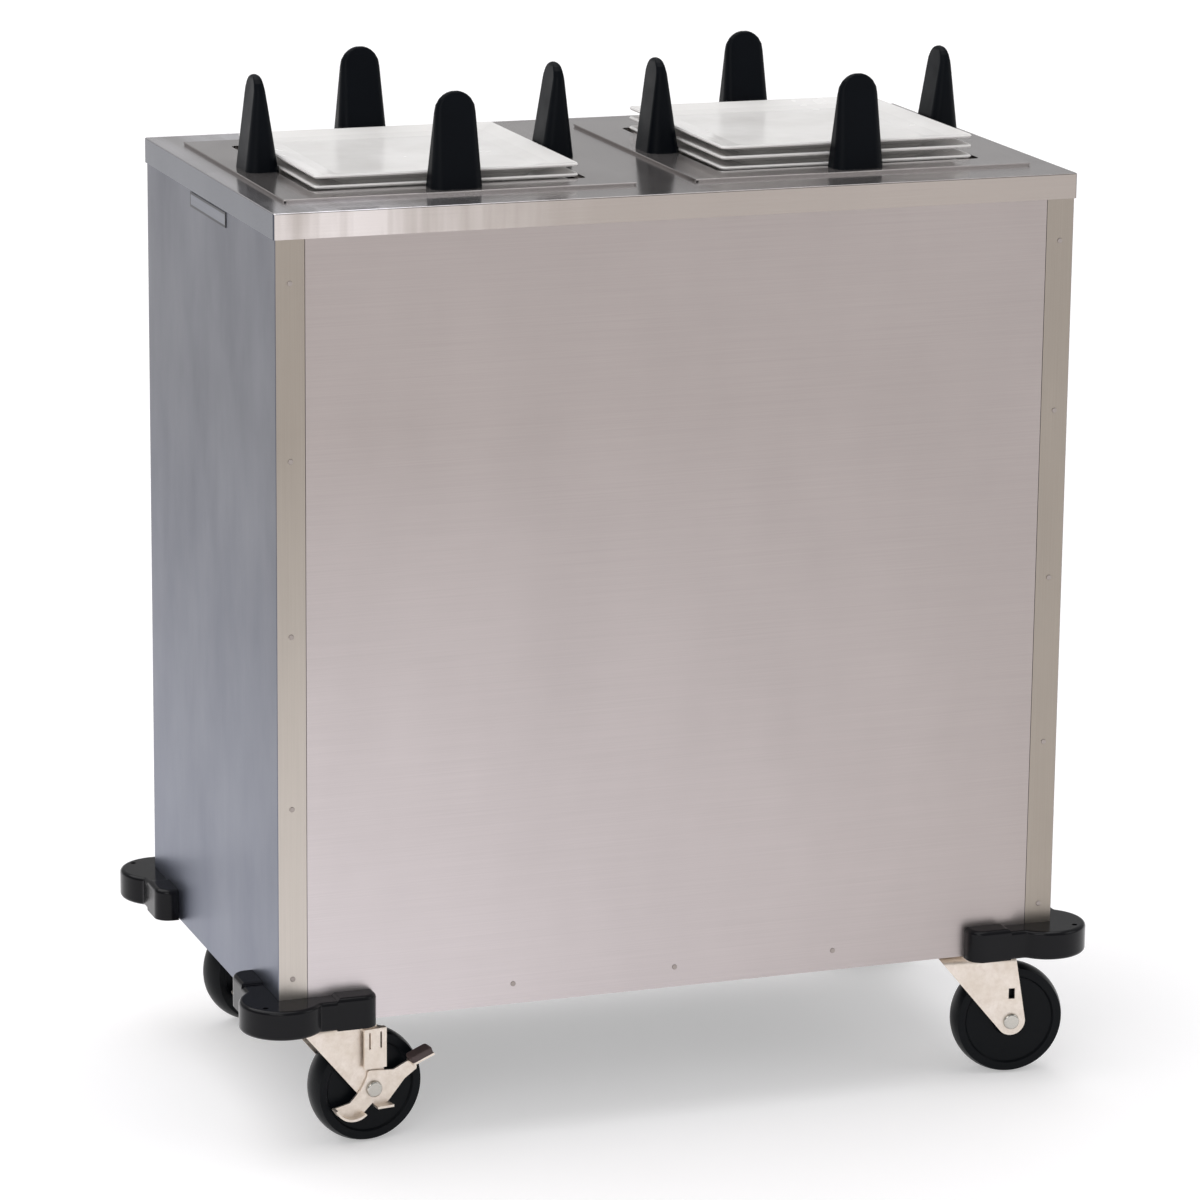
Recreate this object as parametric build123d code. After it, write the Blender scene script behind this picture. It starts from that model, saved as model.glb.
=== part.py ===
from build123d import *
import os
from math import acos, asin, atan2, cos, hypot, radians, sin

# Mobile plate dispenser with two sprung wells, in millimetres.
# X runs along the width, the front faces -Y, +Z is up, and the origin is on the floor
# under the middle of the cabinet.

# Cabinet
deck_height = 1010.0
panel_bottom = 150.0
deck_sheet = 1.5
skirt_drop = 27.0
deck_corner_radius = 2.5
skirt_gap = 0.5
panel_sheet = 1.2
post_width = 31.0
panel_return = 14.0
seam_gap = 0.6
panel_top_gap = 1.0

# Inner frame
frame_gap = 0.3
channel_height = 42.0
channel_flange = 34.0
channel_sheet = 2.0
frame_lift = 5.0
upright_leg = 27.0
upright_sheet = 2.0
gusset_length = 124.0
gusset_width = 92.0

# Drop-in units
unit_flange_width = 41.0
unit_margin_side = 28.0
unit_margin_front = 59.0
unit_spacing = 65.0
unit_lift = 3.0
unit_sheet = 1.5
unit_edge_radius = 0.9
relief_notch = 3.0
well_clearance = 6.0
well_corner_radius = 6.0
collar_depth = 15.0
cage_leg = 22.0
cage_sheet = 2.0
cage_gap = 1.5
cut_gap = 2.0
cage_bottom = 205.0
cage_ring_sheet = 3.0
hanger_drop = 22.0
hanger_width = 12.0

# Guides round each well
guide_height = 100.0
guide_base_width = 56.0
guide_base_depth = 36.0
guide_top_width = 44.0
guide_tip_depth = 8.0
guide_tip_setback = 16.0
guide_edge_radius = 12.0
guide_edge_share = 0.45
guide_dome_angles = (20, 40, 55, 66, 74, 80)
guide_clearance = 1.5
tongue_depth = 42.0
tongue_width = 38.0
tongue_root = 5.0
tongue_sheet = 4.0
guide_screw_pitch = 26.0
guide_screw_radius = 2.0
guide_screw_setback = 21.0
guide_screw_bite = 12.0

# Plates
plate_side = 288.0
plate_height = 17.26
plate_corner_radius = 5.0
plate_foot_radius = 14.0
plate_edge = 3.2
plate_floor_top = 10.86
plate_floor = 5.6
plate_foot_inset = 40.0
plate_nest_gap = 4.0
plate_shoulder_width = 20.0
plate_shoulder_drop = 4.2
plate_shoulder_radius = 9.0
plate_lip = 2.0
plate_foot_chamfer = 4.0
plate_foot_width = 9.0
plate_edge_round = 1.0
plate_gap = 0.1
plates_in_stack = 15
left_stack_above_deck = 18.0
right_stack_above_deck = 28.0

# Carriers and springs
tray_clearance = 6.0
tray_sheet = 2.0
tray_skirt = 20.0
arm_width = 20.0
arm_sheet = 3.0
beam_width = 10.0
strap_width = 30.0
strap_sheet = 2.5
carrier_drop = 195.0
slide_gap = 0.3
slide_height = 30.0
slide_top_offset = 5.0
slide_side = 17.5
spring_radius = 7.0
spring_wire = 1.5
spring_offset = 75.0
spring_hook = 12.0

# Corner bumpers
bumper_drop = 2.0
bumper_height = 32.0
bumper_lobe_radius = 45.0
bumper_lobe_inset = 5.0
bumper_reach = 103.0
bumper_arm = 24.0
bumper_end_radius = 16.0
bumper_neck_radius = 5.0
bumper_edge_radius = 4.5
bumper_pad_start = 57.0
bumper_pad_rise = 3.0
bumper_pad_edge_radius = 5.0
bumper_dimple_radius = 3.0
bumper_dimple_depth = 2.0
bumper_dimple_inset = 24.75
bumper_gap = 0.1
bumper_screw_place = 70.0
bumper_screw_radius = 2.5
bumper_screw_bite = 14.0
bumper_screw_head = 3.0

# Casters
wheel_radius = 62.5
wheel_width = 32.0
wheel_face_recess = 2.5
wheel_tread_depth = 14.0
wheel_crown = 3.5
wheel_step = 2.0
hub_radius = 17.0
hub_gap = 0.5
axle_radius = 6.0
running_gap = 0.05
axle_head_radius = 9.0
axle_head = 3.5
axle_head_edge = 2.5
caster_inset_x = 72.5
caster_inset_y = 46.0
caster_trail = 38.0
fork_gap = 3.0
fork_sheet = 3.0
fork_front = 46.0
fork_back = 41.5
fork_tip_radius = 16.0
fork_slot_width = 7.0
fork_slot_height = 12.0
fork_slot_rise = 32.0
crown_clearance = 9.5
crown_sheet = 4.0
fork_bend_radius = 8.0
race_gap = 0.5
race_radius = 26.0
race_edge_radius = 3.0
mount_sheet = 4.0
mount_length = 104.0
mount_width = 80.0
mount_corner_radius = 4.0
mount_hole_pitch_x = 80.0
mount_hole_pitch_y = 60.0
mount_bolt_radius = 4.0
mount_bolt_head_radius = 6.8
bolt_hole_gap = 0.3
king_pin_radius = 6.0
king_nut_radius = 11.0
king_nut = 6.0
caster_turns = {"front_left": 8.0, "front_right": -8.0, "rear_left": 20.0, "rear_right": -12.0}

# Wheel brakes
braked_casters = ("front_left", "rear_left")
brake_sheet = 2.5
brake_gap = 0.4
brake_plate_points = ((-7, 21), (23, 18), (39, 25), (53, 17), (36, 6), (16, -17), (2, -19), (-10, -8))
brake_tab_back = ((0, -14), (-6, 17), (-15, 1), (-28, -12))
brake_tab_lip = ((-48, -16), (-34, -29), (-12, -25))
brake_lip_width = 9.0
brake_corner_radius = 3.0
foot_length = 19.0
foot_drop = 17.5
foot_width = 10.0
pedal_place = (40.0, 24.0)
pedal_slope = 20.0
pedal_tread = 2.5
pedal_length = 26.0
pedal_corner_radius = 4.0
pedal_edge_radius = 2.0
pedal_width = 15.0
pedal_thickness = 7.0
bracket_width = 26.0
bracket_sheet = 2.5
bracket_stand_off = 7.0
bracket_rise = 24.0
bracket_slot_width = 2.0
bracket_slot_height = 18.0
bracket_slot_rise = 22.0

# Small fittings
rivet_radius = 1.5
rivet_head_radius = 2.8
rivet_head = 0.9
rivet_dome_radius = 0.63
rivet_top_offset = 72.0
rivet_bottom_rise = 52.0
rivet_rows = 5
hem_screw_pitch = 182.5
hem_screw_count = 3
hem_screw_rise = 22.0
nameplate_length = 137.0
nameplate_height = 16.0
nameplate_sheet = 0.8
nameplate_drop = 2.5

# How close two coordinates must be to count as the same place
same_place = 0.01

# Sizes that follow from the plates
well_opening = plate_side + 2 * well_clearance
unit_side = well_opening + 2 * unit_flange_width
cabinet_width = 2 * (unit_margin_side + unit_side) + unit_spacing
cabinet_depth = 2 * unit_margin_front + unit_side
plate_foot_side = plate_side - 2 * plate_foot_inset
plate_well_side = plate_foot_side + 2 * plate_nest_gap

# Places that follow from the sizes above
panel_inset = deck_sheet + skirt_gap
face_x = cabinet_width / 2 - panel_inset
face_y = cabinet_depth / 2 - panel_inset
inner_x = face_x - panel_sheet
inner_y = face_y - panel_sheet
deck_under = deck_height - deck_sheet
panel_top = deck_under - panel_top_gap
frame_x = inner_x - frame_gap
frame_y = inner_y - frame_gap
frame_bottom = panel_bottom + frame_lift
frame_top = frame_bottom + channel_height
unit_x = (unit_spacing + unit_side) / 2
unit_top = deck_height + unit_lift
unit_under = unit_top - unit_sheet
cage_inner = well_opening / 2 + unit_sheet + cage_gap
cage_outer = cage_inner + cage_leg
cage_face = cage_outer - cage_sheet
deck_cut = cage_outer + cut_gap
hanger_bottom = deck_height - hanger_drop
plate_pitch = plate_floor_top + plate_gap
stack_height = (plates_in_stack - 1) * plate_pitch + plate_height
guide_face = plate_side / 2 + guide_clearance
tray_half = plate_side / 2 - tray_clearance
spring_line = cage_face - hanger_width / 2
slide_outer = cage_face - slide_gap
slide_inner = slide_outer - slide_side
crown_bottom = 2 * wheel_radius + crown_clearance
crown_top = crown_bottom + crown_sheet
mount_bottom = frame_bottom - mount_sheet
leg_inner = wheel_width / 2 + fork_gap
leg_outer = leg_inner + fork_sheet
bumper_bottom = panel_bottom - bumper_drop
bumper_middle = bumper_bottom + bumper_height / 2
lever_face = -leg_outer - brake_gap
lever_space = brake_gap + brake_sheet + brake_gap

unit_places = {"left": -unit_x, "right": unit_x}
tray_tops = {
    "left": deck_height + left_stack_above_deck - stack_height,
    "right": deck_height + right_stack_above_deck - stack_height,
}
corners = {
    "front_left": (-1, -1),
    "front_right": (1, -1),
    "rear_left": (-1, 1),
    "rear_right": (1, 1),
}


def block(low, high):
    """A box between two opposite corners, given in any order."""
    size = [abs(b - a) for a, b in zip(low, high)]
    middle = [(a + b) / 2 for a, b in zip(low, high)]
    return Pos(*middle) * Box(*size)


def rod_z(x, y, bottom, top, radius):
    """An upright cylinder."""
    return Pos(x, y, (bottom + top) / 2) * Cylinder(radius, top - bottom)


def rod_x(start, end, y, z, radius):
    """A cylinder along X."""
    return Pos((start + end) / 2, y, z) * Rot(0, 90, 0) * Cylinder(radius, abs(end - start))


def rod_y(x, start, end, z, radius):
    """A cylinder along Y."""
    return Pos(x, (start + end) / 2, z) * Rot(90, 0, 0) * Cylinder(radius, abs(end - start))


def rounded_slab(side_x, side_y, bottom, top, radius):
    """An upright prism with a rounded rectangular outline."""
    outline = RectangleRounded(side_x, side_y, radius)
    return Pos(0, 0, bottom) * extrude(outline, top - bottom)


def group(solids):
    """Separate solids that are kept in one node."""
    return Compound(children=list(solids))


# Cabinet shell

def top_deck():
    """Deck with a folded skirt and a square cut-out for each drop-in unit."""
    outer = block(
        (-cabinet_width / 2, -cabinet_depth / 2, deck_height - skirt_drop),
        (cabinet_width / 2, cabinet_depth / 2, deck_height),
    )
    outer = fillet(outer.edges().filter_by(Axis.Z), deck_corner_radius)
    outer = fillet(outer.faces().sort_by(Axis.Z)[-1].edges(), deck_sheet)
    hollow = block(
        (-cabinet_width / 2 + deck_sheet, -cabinet_depth / 2 + deck_sheet, 0),
        (cabinet_width / 2 - deck_sheet, cabinet_depth / 2 - deck_sheet, deck_under),
    )
    deck = outer - hollow
    for x in unit_places.values():
        deck -= block(
            (x - deck_cut, -deck_cut, deck_under - 1),
            (x + deck_cut, deck_cut, deck_height + 1),
        )
    return deck


def rivet_places():
    """Where the side panels are riveted to the frame uprights: x, side and height."""
    top = deck_height - rivet_top_offset
    pitch = (top - panel_bottom - rivet_bottom_rise) / (rivet_rows - 1)
    return [
        (side_x * (face_x - post_width / 2), side_y, top - row * pitch)
        for side_x, side_y in corners.values()
        for row in range(rivet_rows)
    ]


def hem_screw_places():
    """Where the front and back panels are screwed to the base frame: x, side and height."""
    first = -hem_screw_pitch * (hem_screw_count - 1) / 2
    return [
        (first + n * hem_screw_pitch, side_y, panel_bottom + hem_screw_rise)
        for side_y in (-1, 1)
        for n in range(hem_screw_count)
    ]


def bumper_screw_lines():
    """The axis of each bumper screw, from its head inside the frame to its tip in the bumper."""
    head = channel_sheet + frame_gap + panel_sheet
    lines = []
    for side_x, side_y in corners.values():
        along_x = side_x * (face_x - bumper_screw_place)
        along_y = side_y * (face_y - bumper_screw_place)
        ends_x = []
        ends_y = []
        for reach in (-head, bumper_screw_bite):
            ends_y.append((along_x, side_y * (face_y + reach)))
            ends_x.append((side_x * (face_x + reach), along_y))
        lines += [tuple(ends_y), tuple(ends_x)]
    return lines


def screw_shaft(line, radius, z):
    """A cylinder along a level line that runs along X or Y."""
    (start_x, start_y), (end_x, end_y) = line
    if start_x == end_x:
        return rod_y(start_x, start_y, end_y, z, radius)
    return rod_x(start_x, end_x, start_y, z, radius)


def drilled(shape):
    """The shape with the holes of the rivets and screws that pass through the shell."""
    for x, side_y, z in rivet_places() + hem_screw_places():
        inside = side_y * (frame_y - channel_sheet - 1)
        shape -= rod_y(x, inside, side_y * (face_y + 1), z, rivet_radius)
    for line in bumper_screw_lines():
        shape -= screw_shaft(line, bumper_screw_radius, bumper_middle)
    return shape


def flat_panel(side_y):
    """Front or back panel: a sheet between the corner posts, with returned edges."""
    half = face_x - post_width - seam_gap
    sheet = block((-half, side_y * inner_y, panel_bottom), (half, side_y * face_y, panel_top))
    for side_x in (-1, 1):
        sheet += block(
            (side_x * half, side_y * (face_y - panel_return), frame_top + seam_gap),
            (side_x * (half - panel_sheet), side_y * face_y, panel_top),
        )
    return drilled(sheet)


def side_panel(side_x):
    """Side panel with a return at the front and back that makes the corner posts."""
    panel = block(
        (side_x * (face_x - post_width), -face_y, panel_bottom),
        (side_x * face_x, face_y, panel_top),
    )
    uprights = panel.edges().filter_by(Axis.Z).group_by(Axis.X)
    panel = fillet(uprights[0 if side_x < 0 else -1], panel_sheet)
    panel -= block(
        (side_x * (face_x - post_width - 1), -inner_y, panel_bottom - 1),
        (side_x * inner_x, inner_y, panel_top + 1),
    )
    return drilled(panel)


def base_frame():
    """Ring of channel, open inwards, with a gusset at each corner for a caster."""
    frame = block((-frame_x, -frame_y, frame_bottom), (frame_x, frame_y, frame_top))
    web = channel_sheet
    frame -= block(
        (-frame_x + web, -frame_y + web, frame_bottom + web),
        (frame_x - web, frame_y - web, frame_top - web),
    )
    lip_x = frame_x - channel_flange
    lip_y = frame_y - channel_flange
    frame -= block((-lip_x, -lip_y, frame_bottom - 1), (lip_x, lip_y, frame_top + 1))
    for side_x, side_y in corners.values():
        frame += block(
            (side_x * frame_x, side_y * frame_y, frame_bottom),
            (side_x * (frame_x - gusset_length), side_y * (frame_y - gusset_width), frame_bottom + web),
        )
    for x, y in caster_bolt_places():
        frame -= rod_z(x, y, frame_bottom - 1, frame_bottom + web + 1, mount_bolt_radius + bolt_hole_gap)
    return drilled(frame)


def frame_uprights():
    """Four angles that carry the deck on the base frame."""
    angles = []
    for side_x, side_y in corners.values():
        angle = block(
            (side_x * frame_x, side_y * frame_y, frame_top),
            (side_x * (frame_x - upright_leg), side_y * (frame_y - upright_leg), deck_under),
        )
        angle -= block(
            (side_x * (frame_x - upright_sheet), side_y * (frame_y - upright_sheet), 0),
            (side_x * (frame_x - upright_leg - 1), side_y * (frame_y - upright_leg - 1), deck_height),
        )
        angles.append(drilled(angle))
    return group(angles)


def panel_screws():
    """Rivets and hem screws with low domed heads on the panel faces."""
    screws = []
    for x, side_y, z in rivet_places() + hem_screw_places():
        tip = side_y * (frame_y - upright_sheet)
        shaft = rod_y(x, tip, side_y * face_y, z, rivet_radius)
        dome = rod_y(x, side_y * face_y, side_y * (face_y + rivet_head), z, rivet_head_radius)
        rims = dome.edges().filter_by(GeomType.CIRCLE).group_by(Axis.Y)
        dome = fillet(rims[0 if side_y < 0 else -1], rivet_dome_radius)
        screws.append(shaft + dome)
    return group(screws)


def nameplate():
    """Blank plate on the left side, just under the skirt."""
    top = deck_height - skirt_drop - nameplate_drop
    plate = block(
        (-face_x - nameplate_sheet, -nameplate_length / 2, top - nameplate_height),
        (-face_x, nameplate_length / 2, top),
    )
    return fillet(plate.edges().filter_by(Axis.X), nameplate_sheet)


def bumper(side_x, side_y):
    """Corner bumper: a round lobe on the corner and an arm along each face."""
    lobe = Pos(bumper_lobe_inset, bumper_lobe_inset) * Circle(bumper_lobe_radius)
    reach = bumper_reach
    arm_x = Pos(reach / 2, -bumper_arm / 2) * Rectangle(reach, bumper_arm)
    arm_y = Pos(-bumper_arm / 2, reach / 2) * Rectangle(bumper_arm, reach)
    end_x = arm_x.vertices().group_by(Axis.X)[-1].sort_by(Axis.Y)[0]
    end_y = arm_y.vertices().group_by(Axis.Y)[-1].sort_by(Axis.X)[0]
    arm_x = fillet(end_x, bumper_end_radius)
    arm_y = fillet(end_y, bumper_end_radius)
    outline = lobe + arm_x + arm_y
    outline -= Pos(reach, reach) * Rectangle(2 * reach, 2 * reach)
    outline = fillet([v for v in outline.vertices() if is_neck(v)], bumper_neck_radius)
    body = extrude(outline, bumper_height)
    faces = body.faces().sort_by(Axis.Z)
    rims = [edge for face in (faces[0], faces[-1]) for edge in face.edges() if is_open_rim(edge)]
    body = fillet(rims, bumper_edge_radius)
    for arm in (arm_x, arm_y):
        body += bumper_pad(arm)
    dimple_place = bumper_lobe_inset - bumper_dimple_inset
    dimple_floor = bumper_height - bumper_dimple_depth
    body -= rod_z(dimple_place, dimple_place, dimple_floor, bumper_height + 1, bumper_dimple_radius)
    body = Pos(-face_x - bumper_gap, -face_y - bumper_gap, bumper_bottom) * body
    if side_x > 0:
        body = mirror(body, Plane.YZ)
    if side_y > 0:
        body = mirror(body, Plane.XZ)
    for line in bumper_screw_lines():
        body -= screw_shaft(line, bumper_screw_radius, bumper_middle)
    return body


def bumper_pad(arm):
    """Raised outer end of a bumper arm, from the arm's outline."""
    start = bumper_pad_start
    pad = extrude(arm - Rectangle(2 * start, 2 * start), bumper_height + bumper_pad_rise)
    rims = [edge for edge in pad.faces().sort_by(Axis.Z)[-1].edges() if is_open_rim(edge)]
    return fillet(rims, bumper_pad_edge_radius)


def is_neck(vertex):
    """Whether a corner of the bumper's outline is where an arm leaves the lobe."""
    off_arm = abs(abs(min(vertex.X, vertex.Y)) - bumper_arm)
    return off_arm < same_place and max(vertex.X, vertex.Y) < bumper_reach / 2


def is_open_rim(edge):
    """Whether a rim edge of the bumper stands clear of both panel faces."""
    box = edge.bounding_box()
    on_front = max(abs(box.min.Y), abs(box.max.Y)) < same_place
    on_side = max(abs(box.min.X), abs(box.max.X)) < same_place
    inside = min(edge.center().X, edge.center().Y) > -same_place
    return not (on_front or on_side or inside)


def bumper_screws():
    """Screws from inside the base frame into the arms of the bumpers."""
    screws = []
    for line in bumper_screw_lines():
        (start_x, start_y), (end_x, end_y) = line
        reach = hypot(end_x - start_x, end_y - start_y)
        back = bumper_screw_head / reach
        head_end = (start_x - (end_x - start_x) * back, start_y - (end_y - start_y) * back)
        head = screw_shaft((head_end, (start_x, start_y)), 2 * bumper_screw_radius, bumper_middle)
        screws.append(screw_shaft(line, bumper_screw_radius, bumper_middle) + head)
    return group(screws)


# Drop-in units

def unit_flange(x):
    """Raised square flange with turned-down edges and a collar round the well."""
    half = unit_side / 2
    flange = block((-half, -half, deck_height), (half, half, unit_top))
    flange = fillet(flange.faces().sort_by(Axis.Z)[-1].edges(), unit_edge_radius)
    inside = half - unit_sheet
    flange -= block((-inside, -inside, 0), (inside, inside, unit_under))
    collar = well_opening + 2 * unit_sheet
    collar_radius = well_corner_radius + unit_sheet
    flange += rounded_slab(collar, collar, unit_top - collar_depth, unit_under, collar_radius)
    flange -= rounded_slab(well_opening, well_opening, 0, unit_top + 1, well_corner_radius)
    for side_x, side_y in corners.values():
        flange -= block(
            (side_x * (half - relief_notch), side_y * (half - relief_notch), deck_height - 1),
            (side_x * (half + 1), side_y * (half + 1), unit_under),
        )
    for gx, gy in guide_screw_places():
        flange -= rod_z(gx, gy, unit_under - 1, unit_top + 1, guide_screw_radius)
    return Pos(x, 0, 0) * flange


def unit_cage(x):
    """Cage under the flange: four angles, a bottom ring and two bars for the springs."""
    bars = []
    for side_x, side_y in corners.values():
        angle = block(
            (side_x * cage_inner, side_y * cage_inner, cage_bottom + cage_ring_sheet),
            (side_x * cage_outer, side_y * cage_outer, unit_under),
        )
        angle -= block(
            (side_x * (cage_inner - 1), side_y * (cage_inner - 1), 0),
            (side_x * cage_face, side_y * cage_face, unit_top),
        )
        bars.append(angle)
    for side in (-1, 1):
        bars.append(block(
            (-cage_outer, side * cage_inner, cage_bottom),
            (cage_outer, side * cage_outer, cage_bottom + cage_ring_sheet),
        ))
        bars.append(block(
            (side * cage_inner, -cage_inner, cage_bottom),
            (side * cage_outer, cage_inner, cage_bottom + cage_ring_sheet),
        ))
        hanger = block(
            (-cage_face, side * (cage_face - hanger_width), hanger_bottom),
            (cage_face, side * cage_face, hanger_bottom + cage_ring_sheet),
        )
        for spot in (-spring_offset, spring_offset):
            hanger -= rod_z(spot, side * spring_line, 0, deck_height, spring_wire + bolt_hole_gap)
        bars.append(hanger)
    return group(Pos(x, 0, 0) * bar for bar in bars)


def guide_screw_places():
    """Where the guide screws stand in one unit."""
    reach = guide_face + guide_screw_setback
    half = guide_screw_pitch / 2
    places = []
    for side in (-1, 1):
        for spot in (-half, half):
            places.append((spot, side * reach))
            places.append((side * reach, spot))
    return places


def guide():
    """One guide at the front of a well: a tapered post whose flat face leads the plates in."""
    radius = guide_top_width / 2
    shoulder = guide_height - radius
    tip = guide_tip_depth / 2
    tip_middle = guide_base_depth - guide_tip_setback
    heights = [0.0, shoulder] + [shoulder + radius * sin(radians(a)) for a in guide_dome_angles]
    sections = []
    for height in heights:
        if height <= shoulder:
            width = guide_base_width + (guide_top_width - guide_base_width) * height / shoulder
        else:
            width = 2 * (radius**2 - (height - shoulder) ** 2) ** 0.5
        rise = height / guide_height
        depth = guide_base_depth + (guide_tip_depth - guide_base_depth) * rise
        above_tip = max(0.0, height - (guide_height - tip))
        depth *= (1 - (above_tip / tip) ** 2) ** 0.5
        middle = guide_base_depth / 2 + (tip_middle - guide_base_depth / 2) * rise
        edge = min(guide_edge_radius, guide_edge_share * depth, guide_edge_share * width)
        outline = RectangleRounded(width, depth, edge)
        sections.append(Pos(0, -guide_face - middle, unit_top + height) * outline)
    post = loft(sections, ruled=True)
    post += block(
        (-tongue_width / 2, -guide_face - tongue_sheet, unit_top - tongue_depth),
        (tongue_width / 2, -guide_face, unit_top + tongue_root),
    )
    for gx, gy in guide_screw_places():
        if gy < -guide_face:
            post -= rod_z(gx, gy, 0, unit_top + guide_screw_bite, guide_screw_radius)
    return post


def guide_screws():
    """Screws that hold the guides down, put in from under the flanges."""
    screws = []
    for x in unit_places.values():
        for gx, gy in guide_screw_places():
            shaft = rod_z(x + gx, gy, unit_under, unit_top + guide_screw_bite, guide_screw_radius)
            head = rod_z(x + gx, gy, unit_under - guide_screw_radius, unit_under, 2 * guide_screw_radius)
            screws.append(shaft + head)
    return group(screws)


# Carriers, springs and plates

def carrier(x, tray_top):
    """Tray on four corner arms, with two straps down to the beams that the springs lift."""
    half = tray_half
    tray = rounded_slab(2 * half, 2 * half, tray_top - tray_skirt, tray_top, well_corner_radius)
    inside = 2 * (half - tray_sheet)
    tray -= rounded_slab(inside, inside, 0, tray_top - tray_sheet, well_corner_radius - tray_sheet)
    arm_start = half - arm_width / 2
    arm_end = (slide_inner + slide_outer) / 2
    arm_middle = (arm_start + arm_end) / 2
    arm_length = hypot(arm_end - arm_start, arm_end - arm_start)
    arm_z = tray_top - tray_skirt + arm_sheet / 2
    for side_x, side_y in corners.values():
        arm = Rot(0, 0, 45 * side_x * side_y) * Box(arm_length, arm_width, arm_sheet)
        tray += Pos(side_x * arm_middle, side_y * arm_middle, arm_z) * arm
    beam_top = tray_top - carrier_drop
    for side in (-1, 1):
        tray += block(
            (-strap_width / 2, side * (half - strap_sheet), beam_top - arm_sheet),
            (strap_width / 2, side * half, tray_top - tray_sheet),
        )
        tray += block(
            (-strap_width / 2, side * (half - strap_sheet), beam_top - arm_sheet),
            (strap_width / 2, side * spring_line, beam_top),
        )
        beam = block(
            (-slide_inner, side * (spring_line - beam_width / 2), beam_top - arm_sheet),
            (slide_inner, side * (spring_line + beam_width / 2), beam_top),
        )
        for spot in (-spring_offset, spring_offset):
            beam -= rod_z(spot, side * spring_line, 0, deck_height, spring_wire + bolt_hole_gap)
        tray += beam
    tray = Pos(x, 0, 0) * tray
    return tray - slide_blocks(x, tray_top)


def slide_blocks(x, tray_top):
    """The eight blocks that run in the cage angles, four at the tray and four at the beams."""
    tops = (tray_top - slide_top_offset, tray_top - carrier_drop + slide_height / 2)
    blocks = []
    for top in tops:
        for side_x, side_y in corners.values():
            blocks.append(block(
                (x + side_x * slide_inner, side_y * slide_inner, top - slide_height),
                (x + side_x * slide_outer, side_y * slide_outer, top),
            ))
    return blocks


def springs(x, tray_top):
    """Four closed-wound extension springs, each with a straight hook wire at both ends."""
    lower = tray_top - carrier_drop
    coils = []
    for side_x, side_y in corners.values():
        place = (x + side_x * spring_offset, side_y * spring_line)
        coil = rod_z(*place, lower + spring_hook, hanger_bottom - spring_hook, spring_radius)
        coil += rod_z(*place, lower - arm_sheet, lower + spring_hook + 1, spring_wire)
        coil += rod_z(*place, hanger_bottom - spring_hook - 1, hanger_bottom + cage_ring_sheet, spring_wire)
        coils.append(coil)
    return group(coils)


def plate():
    """One square plate with a shallow well and a raised foot, standing on the XY plane."""
    half = plate_side / 2
    foot = plate_foot_side / 2
    under_rim = plate_height - plate_edge
    shoulder = half - plate_shoulder_width
    shoulder_top = plate_height - plate_shoulder_drop
    edge = half - plate_edge_round
    outside = plate_loft([
        (foot, 0, plate_foot_radius),
        (foot + plate_foot_chamfer, plate_foot_chamfer, plate_foot_radius),
        (shoulder, shoulder_top - plate_edge, plate_shoulder_radius),
        (edge, under_rim, plate_corner_radius),
        (half, under_rim + plate_edge / 2, plate_corner_radius),
        (edge, plate_height, plate_corner_radius),
    ])
    well = plate_loft([
        (plate_well_side / 2, plate_floor_top, plate_foot_radius),
        (shoulder, shoulder_top, plate_shoulder_radius),
        (half - plate_lip, plate_height + plate_gap, plate_corner_radius),
    ])
    hollow = foot - plate_foot_width
    under = plate_loft([
        (hollow, -plate_gap, plate_foot_radius),
        (hollow - plate_foot_chamfer, plate_floor_top - plate_floor, plate_foot_radius),
    ])
    return outside - well - under


def plate_loft(rings):
    """A loft through rounded squares, each given as half side, height and corner radius."""
    sections = [
        Pos(0, 0, height) * RectangleRounded(2 * half_side, 2 * half_side, radius)
        for half_side, height, radius in rings
    ]
    return loft(sections, ruled=True)


def plates(x, tray_top):
    """The nested plates that stand on a tray, from the lowest to the one on top."""
    one = plate()
    return [Pos(x, 0, tray_top + n * plate_pitch) * one for n in range(plates_in_stack)]


# Casters, built with the wheel trailing towards +X and the swivel axis on Z

def caster_place(name):
    """The swivel axis of a caster."""
    side_x, side_y = corners[name]
    return side_x * (cabinet_width / 2 - caster_inset_x), side_y * (cabinet_depth / 2 - caster_inset_y)


def mount_holes():
    """The four bolt holes of a mount plate about its own middle."""
    return [
        (side_x * mount_hole_pitch_x / 2, side_y * mount_hole_pitch_y / 2)
        for side_x, side_y in corners.values()
    ]


def caster_bolt_places():
    """Every caster bolt in the base frame."""
    places = []
    for name in corners:
        x, y = caster_place(name)
        places += [(x + hole_x, y + hole_y) for hole_x, hole_y in mount_holes()]
    return places


def caster_mount():
    """Bolted top plate with its race, the king pin and the nut under the fork."""
    race = rod_z(0, 0, crown_top + race_gap, mount_bottom, race_radius)
    race = fillet(race.edges().filter_by(GeomType.CIRCLE).sort_by(Axis.Z)[0], race_edge_radius)
    top_plate = rounded_slab(mount_length, mount_width, mount_bottom, frame_bottom, mount_corner_radius)
    mount = top_plate + race
    mount += rod_z(0, 0, crown_bottom - race_gap - king_nut, mount_bottom, king_pin_radius)
    mount += rod_z(0, 0, crown_bottom - race_gap - king_nut, crown_bottom - race_gap, king_nut_radius)
    for x, y in mount_holes():
        mount -= rod_z(x, y, mount_bottom - 1, frame_bottom + 1, mount_bolt_radius + bolt_hole_gap)
    return mount


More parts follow.
